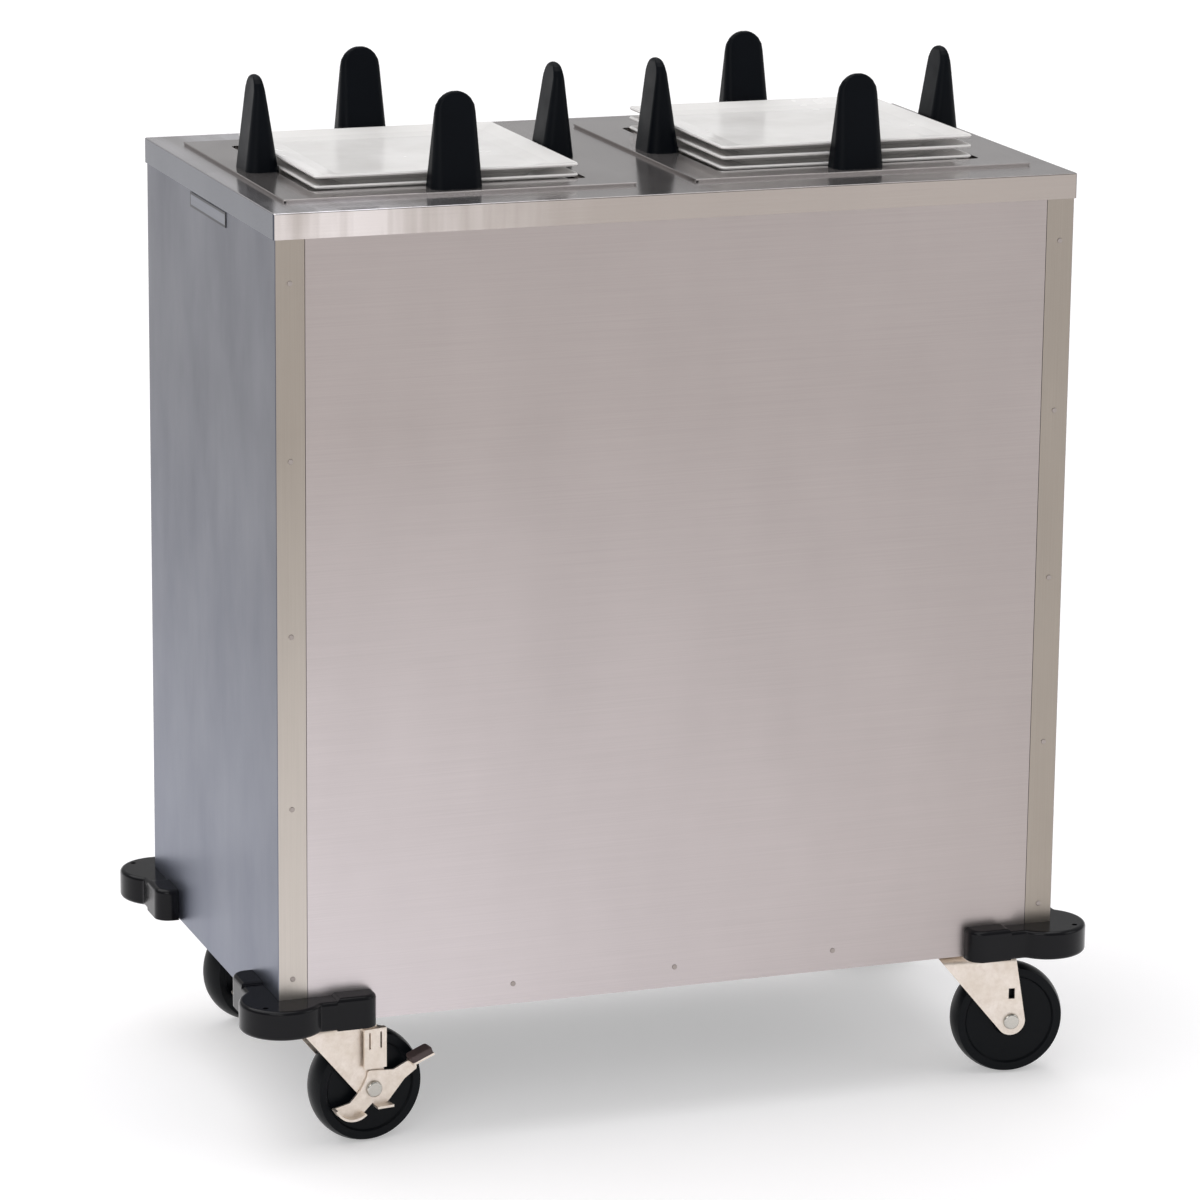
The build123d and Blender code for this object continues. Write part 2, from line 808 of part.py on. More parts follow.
def caster_bolts():
    """Hexagon bolts up through the mount plates, with a nut inside the base frame."""
    bolts = []
    head = RegularPolygon(mount_bolt_head_radius, 6)
    top = frame_bottom + channel_sheet
    for x, y in caster_bolt_places():
        bolt = rod_z(x, y, mount_bottom, top + mount_bolt_radius, mount_bolt_radius)
        bolt += Pos(x, y, mount_bottom - mount_bolt_radius) * extrude(head, mount_bolt_radius)
        bolt += Pos(x, y, top) * extrude(head, mount_bolt_radius)
        bolts.append(bolt)
    return group(bolts)


def fork_leg_outline():
    """Side view of a fork leg, in X and Z: wide at the crown, round at the axle."""
    front = (-fork_front, crown_top)
    back = (fork_back, crown_top)
    front_tangent = tangent_point(front, -1)
    back_tangent = tangent_point(back, 1)
    bottom = (caster_trail, wheel_radius - fork_tip_radius)
    return make_face([
        Line(front, back),
        Line(back, back_tangent),
        ThreePointArc(back_tangent, bottom, front_tangent),
        Line(front_tangent, front),
    ])


def tangent_point(corner, side):
    """Where a line from a crown corner meets the round tip of the fork leg."""
    dx = corner[0] - caster_trail
    dz = corner[1] - wheel_radius
    turn = atan2(dz, dx) - side * acos(fork_tip_radius / hypot(dx, dz))
    return caster_trail + fork_tip_radius * cos(turn), wheel_radius + fork_tip_radius * sin(turn)


def caster_fork():
    """Pressed fork: a crown on the swivel axis, bent down into two legs that reach the axle."""
    outside = Pos(0, crown_top / 2) * Rectangle(2 * leg_outer, crown_top)
    inside = Pos(0, crown_bottom / 2) * Rectangle(2 * leg_inner, crown_bottom)
    outside = fillet(outside.vertices().group_by(Axis.Y)[-1], fork_bend_radius)
    inside = fillet(inside.vertices().group_by(Axis.Y)[-1], fork_bend_radius - fork_sheet)
    channel = extrude(Plane.YZ * (outside - inside), fork_front + fork_back, both=True)
    fork = channel & extrude(Plane.XZ * fork_leg_outline(), leg_outer, both=True)
    fork += rod_z(0, 0, crown_bottom, crown_top, leg_outer + fork_sheet)
    fork -= rod_z(0, 0, 0, crown_top + 1, king_pin_radius + running_gap)
    slot_middle = wheel_radius + fork_slot_rise
    fork -= block(
        (caster_trail - fork_slot_width / 2, -leg_outer - 1, slot_middle - fork_slot_height / 2),
        (caster_trail + fork_slot_width / 2, leg_outer + 1, slot_middle + fork_slot_height / 2),
    )
    fork -= rod_y(caster_trail, -leg_outer - 1, leg_outer + 1, wheel_radius, axle_radius)
    return fork


def caster_axle(lever_room):
    """Axle bolt with a round head and a nut outside the fork legs, and room for a brake lever."""
    near = -leg_outer - lever_room
    axle = rod_y(caster_trail, near - axle_head, leg_outer + axle_head, wheel_radius, axle_radius)
    head = rod_y(caster_trail, near - axle_head, near, wheel_radius, axle_head_radius)
    axle += fillet(head.edges().filter_by(GeomType.CIRCLE).sort_by(Axis.Y)[0], axle_head_edge)
    nut = Plane.XZ * (Pos(caster_trail, wheel_radius) * RegularPolygon(axle_head_radius, 6))
    axle += Pos(0, leg_outer + axle_head, 0) * extrude(nut, axle_head)
    return axle


def caster_wheel():
    """Solid wheel with a crowned tread, dished faces and a hub."""
    half = wheel_width / 2
    rim = wheel_radius - wheel_tread_depth
    face = half - wheel_face_recess
    hub = leg_inner - hub_gap
    bore = axle_radius + running_gap
    outline = [
        (bore, 0),
        (bore, hub),
        (hub_radius, hub),
        (hub_radius + wheel_step, face),
        (rim, face),
        (rim + wheel_step, half),
        (wheel_radius - wheel_crown, half),
    ]
    crown_radius = (half**2 + wheel_crown**2) / (2 * wheel_crown)
    turn = asin(half / crown_radius) / 2
    on_crown = (wheel_radius - crown_radius * (1 - cos(turn)), crown_radius * sin(turn))
    top = make_face([
        Polyline(outline),
        ThreePointArc(outline[-1], on_crown, (wheel_radius, 0)),
        Line((wheel_radius, 0), (bore, 0)),
    ])
    profile = top + mirror(top, Plane.XZ)
    wheel = revolve(profile, Axis.Y)
    return Pos(caster_trail, 0, wheel_radius) * wheel


def lever_sheet(outline):
    """A flat part of the brake lever, from its outline about the axle in X and Z."""
    return Pos(0, lever_face, 0) * extrude(Plane.XZ * outline, brake_sheet)


def on_tread(low, high):
    """A box on the pedal's sloping tread, measured from the tread's inner end."""
    across, up = pedal_place
    return Pos(across, 0, up) * Rot(0, -pedal_slope, 0) * block(low, high)


def brake_lever():
    """Lever on the axle beside the fork: a plate, a lipped release tab, a foot and a tread."""
    plate = make_face(Polyline(brake_plate_points, close=True))
    plate = fillet(plate.vertices(), brake_corner_radius)
    lip = ThreePointArc(*brake_tab_lip)
    back = Polyline(brake_tab_lip[-1], *brake_tab_back, brake_tab_lip[0])
    lip_band = make_face(offset(Wire([lip]), -brake_sheet, side=Side.LEFT))
    lever = lever_sheet(plate) + lever_sheet(make_face([lip, back]))
    lever += Pos(0, lever_face, 0) * extrude(Plane.XZ * lip_band, brake_sheet + brake_lip_width)
    outer = lever_face - brake_sheet
    lever += block((0, outer - foot_width, -foot_drop - brake_sheet), (foot_length, lever_face, -foot_drop))
    lever += on_tread((0, outer - pedal_width, 0), (pedal_length, lever_face, pedal_tread))
    lever -= rod_y(0, lever_face + 1, outer - 1, 0, axle_radius + running_gap)
    return Pos(caster_trail, 0, wheel_radius) * lever


def brake_pedal():
    """Moulded pad on the lever's tread."""
    far_side = lever_face - brake_sheet - pedal_width
    pad = block((0, far_side, pedal_tread), (pedal_length, lever_face, pedal_tread + pedal_thickness))
    pad = fillet(pad.edges().filter_by(Axis.Z), pedal_corner_radius)
    pad = fillet(pad.faces().sort_by(Axis.Z)[-1].edges(), pedal_edge_radius)
    across, up = pedal_place
    on_axle = Pos(across, 0, up) * Rot(0, -pedal_slope, 0) * pad
    return Pos(caster_trail, 0, wheel_radius) * on_axle


def brake_bracket():
    """Folded strip on the fork leg that stops the brake lever."""
    half = bracket_width / 2
    low = wheel_radius + bracket_rise
    top = crown_top - fork_bend_radius
    front = -leg_outer - bracket_stand_off
    strip = block((caster_trail - half, front, low), (caster_trail + half, -leg_outer, top))
    strip -= block(
        (caster_trail - half - 1, front + bracket_sheet, low - 1),
        (caster_trail + half - bracket_sheet, -leg_outer + 1, top - bracket_sheet),
    )
    slot_low = low + bracket_slot_rise
    for side in (-1, 1):
        slot = caster_trail + side * half / 2
        strip -= block(
            (slot - bracket_slot_width / 2, front - 1, slot_low),
            (slot + bracket_slot_width / 2, front + bracket_sheet + 1, slot_low + bracket_slot_height),
        )
    return strip


def place_caster(shape, name):
    """A caster piece at its corner, with the swivel at its resting turn."""
    x, y = caster_place(name)
    return Pos(x, y, 0) * Rot(0, 0, caster_turns[name]) * shape


def build_nodes():
    """Every sub-part by its node name."""
    nodes = {
        "top_deck": top_deck(),
        "front_panel": flat_panel(-1),
        "back_panel": flat_panel(1),
        "left_side_panel": side_panel(-1),
        "right_side_panel": side_panel(1),
        "base_frame": base_frame(),
        "frame_uprights": frame_uprights(),
        "panel_screws": panel_screws(),
        "nameplate": nameplate(),
        "bumper_screws": bumper_screws(),
        "guide_screws": guide_screws(),
        "caster_bolts": caster_bolts(),
    }
    one_guide = guide()
    sides = {"left": {90: "inner", 270: "outer"}, "right": {90: "outer", 270: "inner"}}
    for side, x in unit_places.items():
        tray_top = tray_tops[side]
        nodes[f"unit_flange_{side}"] = unit_flange(x)
        nodes[f"unit_cage_{side}"] = unit_cage(x)
        nodes[f"carrier_{side}"] = carrier(x, tray_top)
        nodes[f"carrier_slides_{side}"] = group(slide_blocks(x, tray_top))
        nodes[f"springs_{side}"] = springs(x, tray_top)
        *lower_plates, top_plate = plates(x, tray_top)
        nodes[f"plates_{side}"] = group(lower_plates)
        nodes[f"top_plate_{side}"] = top_plate
        names = {0: "front", 180: "back", **sides[side]}
        for turn, name in names.items():
            nodes[f"guide_{side}_{name}"] = Pos(x, 0, 0) * Rot(0, 0, turn) * one_guide
    for name, (side_x, side_y) in corners.items():
        nodes[f"bumper_{name}"] = bumper(side_x, side_y)
        x, y = caster_place(name)
        nodes[f"caster_mount_{name}"] = Pos(x, y, 0) * caster_mount()
        nodes[f"caster_fork_{name}"] = place_caster(caster_fork(), name)
        braked = name in braked_casters
        nodes[f"caster_axle_{name}"] = place_caster(caster_axle(lever_space if braked else 0), name)
        nodes[f"caster_wheel_{name}"] = place_caster(caster_wheel(), name)
        if braked:
            nodes[f"brake_lever_{name}"] = place_caster(brake_lever(), name)
            nodes[f"brake_pedal_{name}"] = place_caster(brake_pedal(), name)
            nodes[f"brake_bracket_{name}"] = place_caster(brake_bracket(), name)
    return nodes


os.makedirs("parts", exist_ok=True)
for node_name, shape in build_nodes().items():
    export_step(shape, f"parts/{node_name}.step")
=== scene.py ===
from math import cos, pi, radians, sin

import bpy
from mathutils import Matrix, Vector


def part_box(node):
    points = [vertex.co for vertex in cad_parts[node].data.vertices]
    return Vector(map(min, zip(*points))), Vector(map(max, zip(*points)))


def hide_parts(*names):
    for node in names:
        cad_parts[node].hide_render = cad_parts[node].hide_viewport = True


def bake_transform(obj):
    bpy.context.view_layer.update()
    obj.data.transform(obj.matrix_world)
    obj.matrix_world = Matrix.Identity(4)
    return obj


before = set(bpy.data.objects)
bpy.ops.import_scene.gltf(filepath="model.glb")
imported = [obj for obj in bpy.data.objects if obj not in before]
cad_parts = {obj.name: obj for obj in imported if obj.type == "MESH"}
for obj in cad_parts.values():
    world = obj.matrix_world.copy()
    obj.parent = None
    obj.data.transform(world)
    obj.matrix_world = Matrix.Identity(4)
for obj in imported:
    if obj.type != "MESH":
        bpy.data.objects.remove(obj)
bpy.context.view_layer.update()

# Words in the names of the CAD nodes

BOTH = ("left", "right")
CASTERS = ("front_left", "front_right", "rear_left", "rear_right")
BRAKED = ("front_left", "rear_left")
GUIDE_SPOTS = ("front", "back", "inner", "outer")

# Nameplate: the middle of its face and half the size of the part inside the border

NAMEPLATE_Z = 0.9725
FACE_HALF_LENGTH = 0.066
FACE_HALF_HEIGHT = 0.0055

# Colours of the steel, some of them painted light and painted shade for faces that look along one axis

WARM = (0.408, 0.362, 0.350)
# One steel on the side panels: painted light on their faces that look along Y, painted shade on their
# sides and tops
SIDE_PANEL_PAINTED_LIGHT = (0.345, 0.305, 0.265)
SIDE_PANEL_PAINTED_SHADE = (0.102, 0.107, 0.132)
GREY = (0.50, 0.50, 0.51)
SCREW = (0.36, 0.32, 0.30)
BRIGHT = (0.55, 0.53, 0.49)
DECK_TOP = (0.46, 0.43, 0.428)
# The deck's top colour is its steel; its front faces get a painted shading of it and its sides a dark
# painted shade
DECK_FRONT_PAINTED_SHADING = (0.41, 0.365, 0.335)
DECK_SIDE_PAINTED_SHADE = (0.042, 0.045, 0.055)
# The flanges' front edges get a painted highlight and their side edges a painted shadow
FLANGE_FRONT_PAINTED_HIGHLIGHT = (0.62, 0.58, 0.57)
FLANGE_SIDE_PAINTED_SHADOW = (0.25, 0.22, 0.21)

# Colours of the other materials

GUIDE_BLACK = (0.0020, 0.0030, 0.0050)
BUMPER_BLACK = (0.003, 0.003, 0.0045)
WHEEL_BLACK = (0.0025, 0.0035, 0.0050)
PEDAL_BROWN = (0.085, 0.060, 0.058)
SLIDE_WHITE = (0.70, 0.68, 0.62)
ZINC = ((0.78, 0.69, 0.61), (0.94, 0.86, 0.79))
ZINC_YELLOW = (0.66, 0.57, 0.46)
GLAZE = ((0.87, 0.85, 0.835), (0.91, 0.895, 0.885))
NAMEPLATE_FACE = ((0.150, 0.158, 0.185), (0.175, 0.183, 0.212))
NAMEPLATE_BORDER = (0.012, 0.012, 0.018)

# Painted light on the steel, a glow and pale reflection bands: how much they add to red, green and
# blue, and where they fade out

PAINTED_LIGHT_TINT = (1.0, 1.1, 1.25)
GLOW_X = (-0.40, 0.44)
GLOW_Z = (0.16, 0.78)
STREAKS_X = (-0.36, -0.10)

# Grain that runs along X or along Z

FINE_X = (6.0, 900.0, 900.0)
FINE_Z = (900.0, 900.0, 6.0)

# Carrier springs: the unit's middle, their places round it and the measures of a coil

UNIT_X = 0.2235
SPRING_PLACES = [(x, y) for x in (-0.075, 0.075) for y in (-0.167, 0.167)]
WIRE = 0.0011
WIRE_SIDES = 6
COIL_RADIUS = 0.0058
COIL_PITCH = 0.0030
COIL_STEPS = 10
HOOK = 0.012

# Studio

FLOOR_HALF = 40.0
FLOOR_COLOUR = (0.72, 0.71, 0.72)
FLOOR_GLOW = 0.38
SUN_POWER = 1.6
SUN_SPREAD = radians(70)
SUN_TILT = (radians(-12), radians(-10), 0)
STUDIO_LEVELS = [(0.0, 1.0), (0.06, 1.0), (0.16, 0.34), (0.45, 0.38), (1.0, 0.62)]
LAMP_TARGET = (0.0, 0.0, 0.5)

# Camera, fitted to the corners of the deck and the panels in the photograph

CAMERA_TURN = radians(-19.926)
CAMERA_LIFT = radians(14.258)
CAMERA_ROLL = radians(0.617)
CAMERA_PLACE = (-1.8751, -5.1742, 1.9154)
FOCAL_PIXELS = 5175.7
PHOTO_WIDTH = 1200.0
SENSOR_WIDTH = 36.0


def named(parts, places):
    """Node names made of every part and every place."""
    return [f"{part}_{place}" for part in parts for place in places]


# Shader helpers

def fill_ramp(ramp, stops):
    """Sets the (position, colour) stops of a colour ramp."""
    elements = ramp.color_ramp.elements
    while len(elements) < len(stops):
        elements.new(0.5)
    for element, (position, colour) in zip(elements, stops):
        element.position = position
        element.color = (*colour, 1.0)


class Shader:
    """A node material with a few short ways to build patterns in object space."""

    def __init__(self, name):
        self.material = bpy.data.materials.new(name)
        self.material.use_nodes = True
        self.tree = self.material.node_tree
        self.bsdf = self.tree.nodes["Principled BSDF"]
        self.place = self.node("ShaderNodeTexCoord").outputs["Object"]

    def node(self, kind, **settings):
        made = self.tree.nodes.new(kind)
        for name, value in settings.items():
            setattr(made, name, value)
        return made

    def link(self, source, target):
        self.tree.links.new(source, target)

    def set(self, **values):
        """Constant values on the shader's own sockets."""
        for name, value in values.items():
            self.bsdf.inputs[name.replace("_", " ")].default_value = value
        return self

    def scaled(self, scale):
        """The object coordinates times a scale along each axis."""
        mapping = self.node("ShaderNodeMapping")
        mapping.inputs["Scale"].default_value = scale
        self.link(self.place, mapping.inputs["Vector"])
        return mapping.outputs["Vector"]

    def noise(self, scale, detail=3.0, roughness=0.5):
        """Noise whose grain runs along the axes with the small scales."""
        texture = self.node("ShaderNodeTexNoise")
        texture.inputs["Scale"].default_value = 1.0
        texture.inputs["Detail"].default_value = detail
        texture.inputs["Roughness"].default_value = roughness
        self.link(self.scaled(scale), texture.inputs["Vector"])
        return texture.outputs["Fac"]

    def ramp(self, source, stops):
        """A colour ramp through (position, colour) stops."""
        ramp = self.node("ShaderNodeValToRGB")
        fill_ramp(ramp, stops)
        self.link(source, ramp.inputs["Fac"])
        return ramp.outputs["Color"]

    def spread(self, source, low, high, start=0.3, end=0.7):
        """Maps a value between start and end to low and high."""
        spread = self.node("ShaderNodeMapRange")
        spread.inputs["From Min"].default_value = start
        spread.inputs["From Max"].default_value = end
        spread.inputs["To Min"].default_value = low
        spread.inputs["To Max"].default_value = high
        self.link(source, spread.inputs["Value"])
        return spread.outputs["Result"]

    def mix(self, factor, first, second, blend="MIX"):
        """A mix of two colours, each given as a socket or as a plain colour."""
        mixer = self.node("ShaderNodeMix", data_type="RGBA", blend_type=blend)
        targets = (mixer.inputs[0], mixer.inputs[6], mixer.inputs[7])
        for value, target in zip((factor, first, second), targets):
            if isinstance(value, bpy.types.NodeSocket):
                self.link(value, target)
            elif isinstance(value, tuple):
                target.default_value = (*value, 1.0)
            else:
                target.default_value = value
        return mixer.outputs[2]

    def axis(self, name):
        """One object coordinate."""
        split = self.node("ShaderNodeSeparateXYZ")
        self.link(self.place, split.inputs["Vector"])
        return split.outputs[name]

    def facing(self, name):
        """How squarely a face looks along an axis, from 0 to 1."""
        geometry = self.node("ShaderNodeNewGeometry")
        split = self.node("ShaderNodeSeparateXYZ")
        size = self.node("ShaderNodeMath", operation="ABSOLUTE")
        self.link(geometry.outputs["True Normal"], split.inputs["Vector"])
        self.link(split.outputs[name], size.inputs[0])
        return size.outputs[0]

    def within(self, axis, middle, half):
        """1 where a coordinate is less than half away from the middle, else 0."""
        off = self.node("ShaderNodeMath", operation="SUBTRACT")
        off.inputs[1].default_value = middle
        self.link(self.axis(axis), off.inputs[0])
        size = self.node("ShaderNodeMath", operation="ABSOLUTE")
        self.link(off.outputs[0], size.inputs[0])
        inside = self.node("ShaderNodeMath", operation="LESS_THAN")
        inside.inputs[1].default_value = half
        self.link(size.outputs[0], inside.inputs[0])
        return inside.outputs[0]

    def colour(self, source):
        self.link(source, self.bsdf.inputs["Base Color"])

    def rough(self, source):
        self.link(source, self.bsdf.inputs["Roughness"])

    def bump(self, source, depth):
        """Relief of a given depth in metres."""
        bump = self.node("ShaderNodeBump")
        bump.inputs["Strength"].default_value = 1.0
        bump.inputs["Distance"].default_value = depth
        self.link(source, bump.inputs["Height"])
        self.link(bump.outputs["Normal"], self.bsdf.inputs["Normal"])

    def times(self, first, second):
        """The product of two values."""
        product = self.node("ShaderNodeMath", operation="MULTIPLY")
        self.link(first, product.inputs[0])
        self.link(second, product.inputs[1])
        return product.outputs[0]

    def grey(self, source, low, high):
        """A ramp between two greys, to multiply a colour with."""
        return self.ramp(source, [(0.3, (low,) * 3), (0.7, (high,) * 3)])

    def paler(self, base, gain, where):
        """Painted light: the colour made paler by the gain wherever the mask is high."""
        lit = self.mix(1.0, base, tuple(1.0 + gain * c for c in PAINTED_LIGHT_TINT), "MULTIPLY")
        return self.mix(where, base, lit)


# Materials

def steel(name, colours, grain, roughness, depth=0.00002, glow=0.0, painted_reflection_streaks=0.0, haze=0.0):
    """Brushed stainless steel with fine grain and soft clouds.

    colours has its colours on faces that look along Y, X and Z, and where they differ they are
    painted light and painted shade. glow paints light, paler low on the left, streaks paints
    reflections in pale bands on the left, and haze is the share of light that its upward faces scatter.
    """
    front, side, top = colours
    shader = Shader(name).set(Metallic=1.0)
    lines = shader.noise(grain, 4.0, 0.65)
    clouds = shader.noise((3.0, 3.0, 2.2), 3.0, 0.55)
    smears = shader.noise((9.0, 9.0, 4.0), 5.0, 0.6)
    # Painted light and shade: faces that look along X and along Z take their own colours
    base = shader.mix(shader.spread(shader.facing("X"), 0.0, 1.0), front, side)
    base = shader.mix(shader.spread(shader.facing("Z"), 0.0, 1.0), base, top)
    base = shader.mix(1.0, base, shader.grey(clouds, 0.95, 1.03), "MULTIPLY")
    base = shader.mix(1.0, base, shader.grey(lines, 0.95, 1.02), "MULTIPLY")
    # Painted light, paler low on the left
    if glow:
        low = shader.spread(shader.axis("Z"), 1.0, 0.0, *GLOW_Z)
        left = shader.spread(shader.axis("X"), 1.0, 0.0, *GLOW_X)
        base = shader.paler(base, glow, shader.times(low, left))
    # Painted reflections in pale bands on the left
    if painted_reflection_streaks:
        bands = shader.spread(shader.noise((16.0, 0.1, 1.5), 4.0, 0.7), 0.2, 1.0, 0.35, 0.6)
        left = shader.spread(shader.axis("X"), 1.0, 0.0, *STREAKS_X)
        base = shader.paler(base, painted_reflection_streaks, shader.times(bands, left))
    shader.colour(base)
    if haze:
        metal = shader.spread(shader.facing("Z"), 1.0, 1.0 - haze)
        shader.link(metal, shader.bsdf.inputs["Metallic"])
    shader.rough(shader.spread(smears, roughness - 0.05, roughness + 0.05))
    shader.bump(lines, depth)
    return shader


def plastic(name, colour, roughness, gloss, grain=1500.0, depth=0.00004):
    """Moulded plastic or rubber with a fine texture and slightly uneven gloss."""
    shader = Shader(name).set(Specular_IOR_Level=gloss)
    fine = shader.noise((grain, grain, grain), 2.0)
    wide = shader.noise((30.0, 30.0, 30.0), 4.0)
    dark = tuple(c * 0.8 for c in colour)
    light = tuple(c * 1.25 for c in colour)
    shader.colour(shader.mix(wide, dark, light))
    shader.rough(shader.spread(wide, roughness - 0.05, roughness + 0.06))
    shader.bump(fine, depth)
    return shader


def zinc_material():
    """Pale plated steel of the casters, with a mottled, slightly yellow surface."""
    shader = Shader("caster_zinc").set(Metallic=0.85)
    mottle = shader.noise((120.0, 120.0, 120.0), 5.0, 0.6)
    wide = shader.noise((35.0, 35.0, 35.0))
    base = shader.ramp(mottle, [(0.35, ZINC[0]), (0.65, ZINC[1])])
    shader.colour(shader.mix(shader.spread(wide, 0.0, 0.35), base, ZINC_YELLOW))
    shader.rough(shader.spread(mottle, 0.32, 0.5))
    shader.bump(mottle, 0.0001)
    return shader


def glaze_material():
    """White glazed ceramic with a faint grey cast and tiny pin marks."""
    shader = Shader("plate_glaze").set(Specular_IOR_Level=0.25)
    wide = shader.noise((14.0, 14.0, 14.0))
    pits = shader.noise((500.0, 500.0, 500.0), 2.0)
    shader.colour(shader.ramp(wide, [(0.3, GLAZE[0]), (0.7, GLAZE[1])]))
    shader.rough(shader.spread(wide, 0.18, 0.28))
    shader.bump(pits, 0.00003)
    return shader


def nameplate_material():
    """Blank plate: satin metal inside a dark border."""
    shader = Shader("nameplate_metal").set(Metallic=1.0)
    lines = shader.noise((900.0, 8.0, 900.0))
    along = shader.within("Y", 0.0, FACE_HALF_LENGTH)
    upright = shader.within("Z", NAMEPLATE_Z, FACE_HALF_HEIGHT)
    inside = shader.times(along, upright)
    face = shader.ramp(lines, [(0.3, NAMEPLATE_FACE[0]), (0.7, NAMEPLATE_FACE[1])])
    shader.colour(shader.mix(inside, NAMEPLATE_BORDER, face))
    shader.rough(shader.spread(lines, 0.3, 0.4))
    return shader


def assign(shader, *names):
    """Puts a material on CAD nodes."""
    for name in names:
        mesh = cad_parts[name].data
        mesh.materials.clear()
        mesh.materials.append(shader.material)


# Materials of the CAD nodes

# Front and back panels: painted light low on the left
assign(steel("panel_steel", [WARM] * 3, FINE_X, roughness=0.34, glow=0.62), "front_panel", "back_panel")
# Side panels: painted light on faces that look along Y, painted shade on faces that look along X and Z,
# and painted light low on the left
assign(
    steel("side_steel", (SIDE_PANEL_PAINTED_LIGHT, SIDE_PANEL_PAINTED_SHADE, SIDE_PANEL_PAINTED_SHADE), FINE_Z, roughness=0.34, glow=0.75),
    "left_side_panel", "right_side_panel",
)
# Deck: painted shading on its front faces, dark painted shade on its sides, and painted reflections in
# pale bands on the left
assign(
    steel(
        "deck_steel", (DECK_FRONT_PAINTED_SHADING, DECK_SIDE_PAINTED_SHADE, DECK_TOP), FINE_X,
        roughness=0.16, depth=0.00001, painted_reflection_streaks=0.85, haze=0.14,
    ),
    "top_deck",
)
# Unit flanges: painted highlight on their front edges, painted shadow on their side edges
assign(
    steel(
        "unit_steel", (FLANGE_FRONT_PAINTED_HIGHLIGHT, FLANGE_SIDE_PAINTED_SHADOW, DECK_TOP), FINE_X,
        roughness=0.16, depth=0.00001, haze=0.16,
    ),
    *named(["unit_flange"], BOTH),
)
assign(
    steel("frame_steel", [GREY] * 3, FINE_Z, roughness=0.38),
    "base_frame", "frame_uprights", *named(["unit_cage", "carrier", "springs"], BOTH),
)
assign(
    steel("screw_steel", [SCREW] * 3, FINE_X, roughness=0.35),
    "panel_screws", "guide_screws", "bumper_screws",
)
assign(steel("axle_steel", [BRIGHT] * 3, FINE_X, roughness=0.2), *named(["caster_axle"], CASTERS))
assign(
    zinc_material(), "caster_bolts",
    *named(["caster_mount", "caster_fork"], CASTERS), *named(["brake_lever", "brake_bracket"], BRAKED),
)
assign(nameplate_material(), "nameplate")
assign(glaze_material(), *named(["plates", "top_plate"], BOTH))
assign(
    plastic("guide_plastic", GUIDE_BLACK, roughness=0.40, gloss=0.08),
    *named(named(["guide"], BOTH), GUIDE_SPOTS),
)
assign(
    plastic("slide_plastic", SLIDE_WHITE, roughness=0.45, gloss=0.5),
    *named(["carrier_slides"], BOTH),
)
assign(
    plastic("bumper_plastic", BUMPER_BLACK, roughness=0.14, gloss=0.20),
    *named(["bumper"], CASTERS),
)
assign(
    plastic("wheel_rubber", WHEEL_BLACK, roughness=0.36, gloss=0.13, grain=700.0, depth=0.0001),
    *named(["caster_wheel"], CASTERS),
)
assign(
    plastic("pedal_rubber", PEDAL_BROWN, roughness=0.6, gloss=0.4, grain=700.0, depth=0.0001),
    *named(["brake_pedal"], BRAKED),
)


# Coils of the carrier springs

def tube(path, radius, sides, vertices, faces):
    """Adds a round tube along a path of points."""
    first = len(vertices)
    side = Vector((1.0, 0.0, 0.0))
    for n, point in enumerate(path):
        ahead = path[min(n + 1, len(path) - 1)] - path[max(n - 1, 0)]
        ahead.normalize()
        side = (side - ahead * side.dot(ahead)).normalized()
        across = ahead.cross(side)
        for k in range(sides):
            turn = 2 * pi * k / sides
            vertices.append(point + side * (radius * cos(turn)) + across * (radius * sin(turn)))
    for n in range(len(path) - 1):
        for k in range(sides):
            a = first + n * sides + k
            b = first + n * sides + (k + 1) % sides
            faces.append((a, b, b + sides, a + sides))


def spring_path(x, y, low, high):
    """One extension spring: a hook wire, a close coil and the other hook wire."""
    coil = high - low - 2 * HOOK
    steps = COIL_STEPS * round(coil / COIL_PITCH)
    path = [Vector((x, y, low)), Vector((x, y, low + HOOK - 2 * WIRE))]
    for n in range(steps + 1):
        turn = 2 * pi * n / COIL_STEPS
        height = low + HOOK + coil * n / steps
        path.append(Vector((x + COIL_RADIUS * cos(turn), y + COIL_RADIUS * sin(turn), height)))
    path += [Vector((x, y, high - HOOK + 2 * WIRE)), Vector((x, y, high))]
    return path


def add_springs(side, middle, material):
    """The four coils of one carrier, which stretch between the cabinet and the carrier."""
    low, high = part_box(f"springs_{side}")
    vertices, faces = [], []
    for x, y in SPRING_PLACES:
        tube(spring_path(middle + x, y, low.z, high.z), WIRE, WIRE_SIDES, vertices, faces)
    mesh = bpy.data.meshes.new(f"spring_coils_{side}")
    mesh.from_pydata(vertices, [], faces)
    mesh.polygons.foreach_set("use_smooth", [True] * len(mesh.polygons))
    coils = bpy.data.objects.new(f"spring_coils_{side}", mesh)
    bpy.context.scene.collection.objects.link(coils)
    mesh.materials.append(material)
    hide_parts(f"springs_{side}")
    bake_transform(coils)


spring_steel = steel("spring_wire", [GREY] * 3, FINE_Z, roughness=0.3).material
add_springs("left", -UNIT_X, spring_steel)
add_springs("right", UNIT_X, spring_steel)


# Floor, light and camera

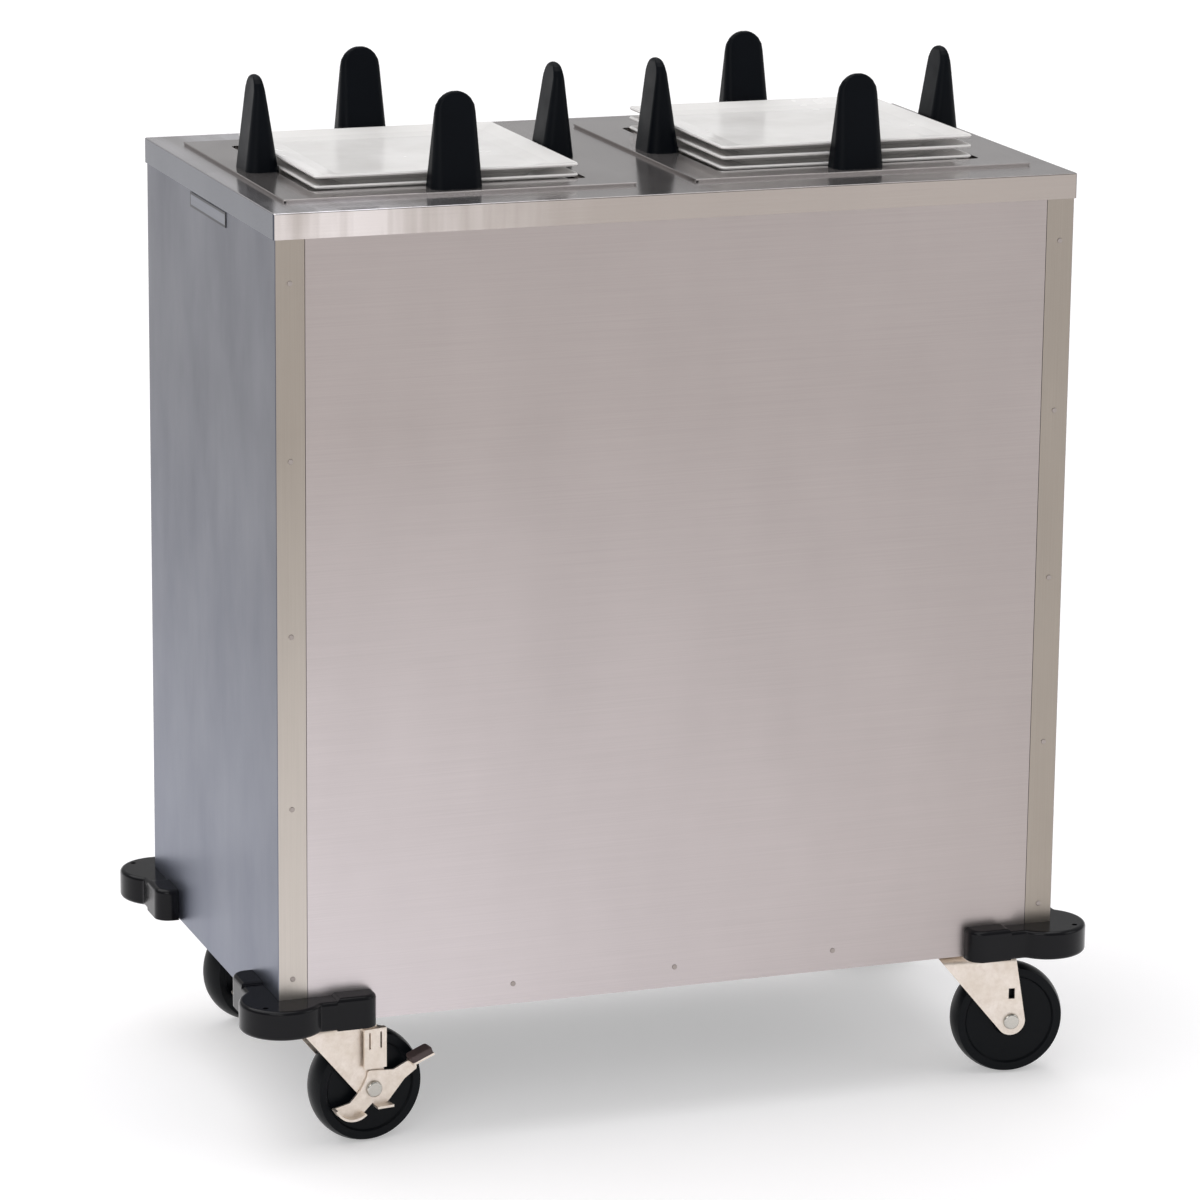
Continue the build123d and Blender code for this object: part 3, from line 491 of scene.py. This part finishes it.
def floor_material():
    """White floor that keeps soft shadows and glows a little where it is seen or mirrored."""
    material = bpy.data.materials.new("floor_white")
    material.use_nodes = True
    tree = material.node_tree
    tree.nodes.clear()
    out = tree.nodes.new("ShaderNodeOutputMaterial")
    diffuse = tree.nodes.new("ShaderNodeBsdfDiffuse")
    diffuse.inputs["Color"].default_value = (*FLOOR_COLOUR, 1.0)
    glow = tree.nodes.new("ShaderNodeEmission")
    path = tree.nodes.new("ShaderNodeLightPath")
    seen = tree.nodes.new("ShaderNodeMath")
    seen.operation = "MAXIMUM"
    tree.links.new(path.outputs["Is Camera Ray"], seen.inputs[0])
    tree.links.new(path.outputs["Is Glossy Ray"], seen.inputs[1])
    level = tree.nodes.new("ShaderNodeMath")
    level.operation = "MULTIPLY"
    level.inputs[1].default_value = FLOOR_GLOW
    tree.links.new(seen.outputs[0], level.inputs[0])
    tree.links.new(level.outputs[0], glow.inputs["Strength"])
    both = tree.nodes.new("ShaderNodeAddShader")
    tree.links.new(diffuse.outputs[0], both.inputs[0])
    tree.links.new(glow.outputs[0], both.inputs[1])
    tree.links.new(both.outputs[0], out.inputs["Surface"])
    return material


def add_floor():
    """A flat square of floor round the part."""
    mesh = bpy.data.meshes.new("floor")
    corners = [(x * FLOOR_HALF, y * FLOOR_HALF, 0) for x, y in ((-1, -1), (1, -1), (1, 1), (-1, 1))]
    mesh.from_pydata(corners, [], [(0, 1, 2, 3)])
    floor = bpy.data.objects.new("floor", mesh)
    bpy.context.scene.collection.objects.link(floor)
    mesh.materials.append(floor_material())


def add_world():
    """A studio that is white at the horizon and grey higher up."""
    world = bpy.data.worlds.new("studio")
    bpy.context.scene.world = world
    world.use_nodes = True
    tree = world.node_tree
    back = tree.nodes["Background"]
    place = tree.nodes.new("ShaderNodeTexCoord")
    split = tree.nodes.new("ShaderNodeSeparateXYZ")
    ramp = tree.nodes.new("ShaderNodeValToRGB")
    fill_ramp(ramp, [(position, (level,) * 3) for position, level in STUDIO_LEVELS])
    tree.links.new(place.outputs["Generated"], split.inputs["Vector"])
    tree.links.new(split.outputs["Z"], ramp.inputs["Fac"])
    tree.links.new(ramp.outputs["Color"], back.inputs["Color"])
    back.inputs["Strength"].default_value = 1.0


def add_lamp(name, place, size, power):
    """A soft rectangular lamp that looks at the middle of the cabinet."""
    lamp = bpy.data.lights.new(name, "AREA")
    lamp.shape = "RECTANGLE"
    lamp.size, lamp.size_y = size
    lamp.energy = power
    holder = bpy.data.objects.new(name, lamp)
    bpy.context.scene.collection.objects.link(holder)
    holder.location = place
    ahead = Vector(LAMP_TARGET) - Vector(place)
    holder.rotation_euler = ahead.to_track_quat("-Z", "Y").to_euler()


def add_sun():
    """Broad even light from above."""
    lamp = bpy.data.lights.new("overhead", "SUN")
    lamp.energy = SUN_POWER
    lamp.angle = SUN_SPREAD
    holder = bpy.data.objects.new("overhead", lamp)
    bpy.context.scene.collection.objects.link(holder)
    holder.rotation_euler = SUN_TILT


def add_camera():
    """The photograph's camera."""
    flat = cos(CAMERA_LIFT)
    back = Vector((sin(CAMERA_TURN) * flat, -cos(CAMERA_TURN) * flat, sin(CAMERA_LIFT)))
    level = Vector((cos(CAMERA_TURN), sin(CAMERA_TURN), 0.0))
    upright = back.cross(level)
    right = level * cos(CAMERA_ROLL) + upright * sin(CAMERA_ROLL)
    up = upright * cos(CAMERA_ROLL) - level * sin(CAMERA_ROLL)
    data = bpy.data.cameras.new("camera")
    data.sensor_fit = "HORIZONTAL"
    data.sensor_width = SENSOR_WIDTH
    data.lens = FOCAL_PIXELS * SENSOR_WIDTH / PHOTO_WIDTH
    camera = bpy.data.objects.new("camera", data)
    bpy.context.scene.collection.objects.link(camera)
    x, y, z = CAMERA_PLACE
    camera.matrix_world = Matrix((
        (right.x, up.x, back.x, x),
        (right.y, up.y, back.y, y),
        (right.z, up.z, back.z, z),
        (0.0, 0.0, 0.0, 1.0),
    ))
    bpy.context.scene.camera = camera


add_floor()
add_world()
add_sun()
add_lamp("key_softbox", place=(-2.4, -3.6, 2.6), size=(2.4, 1.8), power=34.0)
add_lamp("fill_softbox", place=(3.4, -2.0, 2.2), size=(2.0, 2.0), power=14.0)
add_camera()
bpy.context.scene.view_settings.view_transform = "Standard"
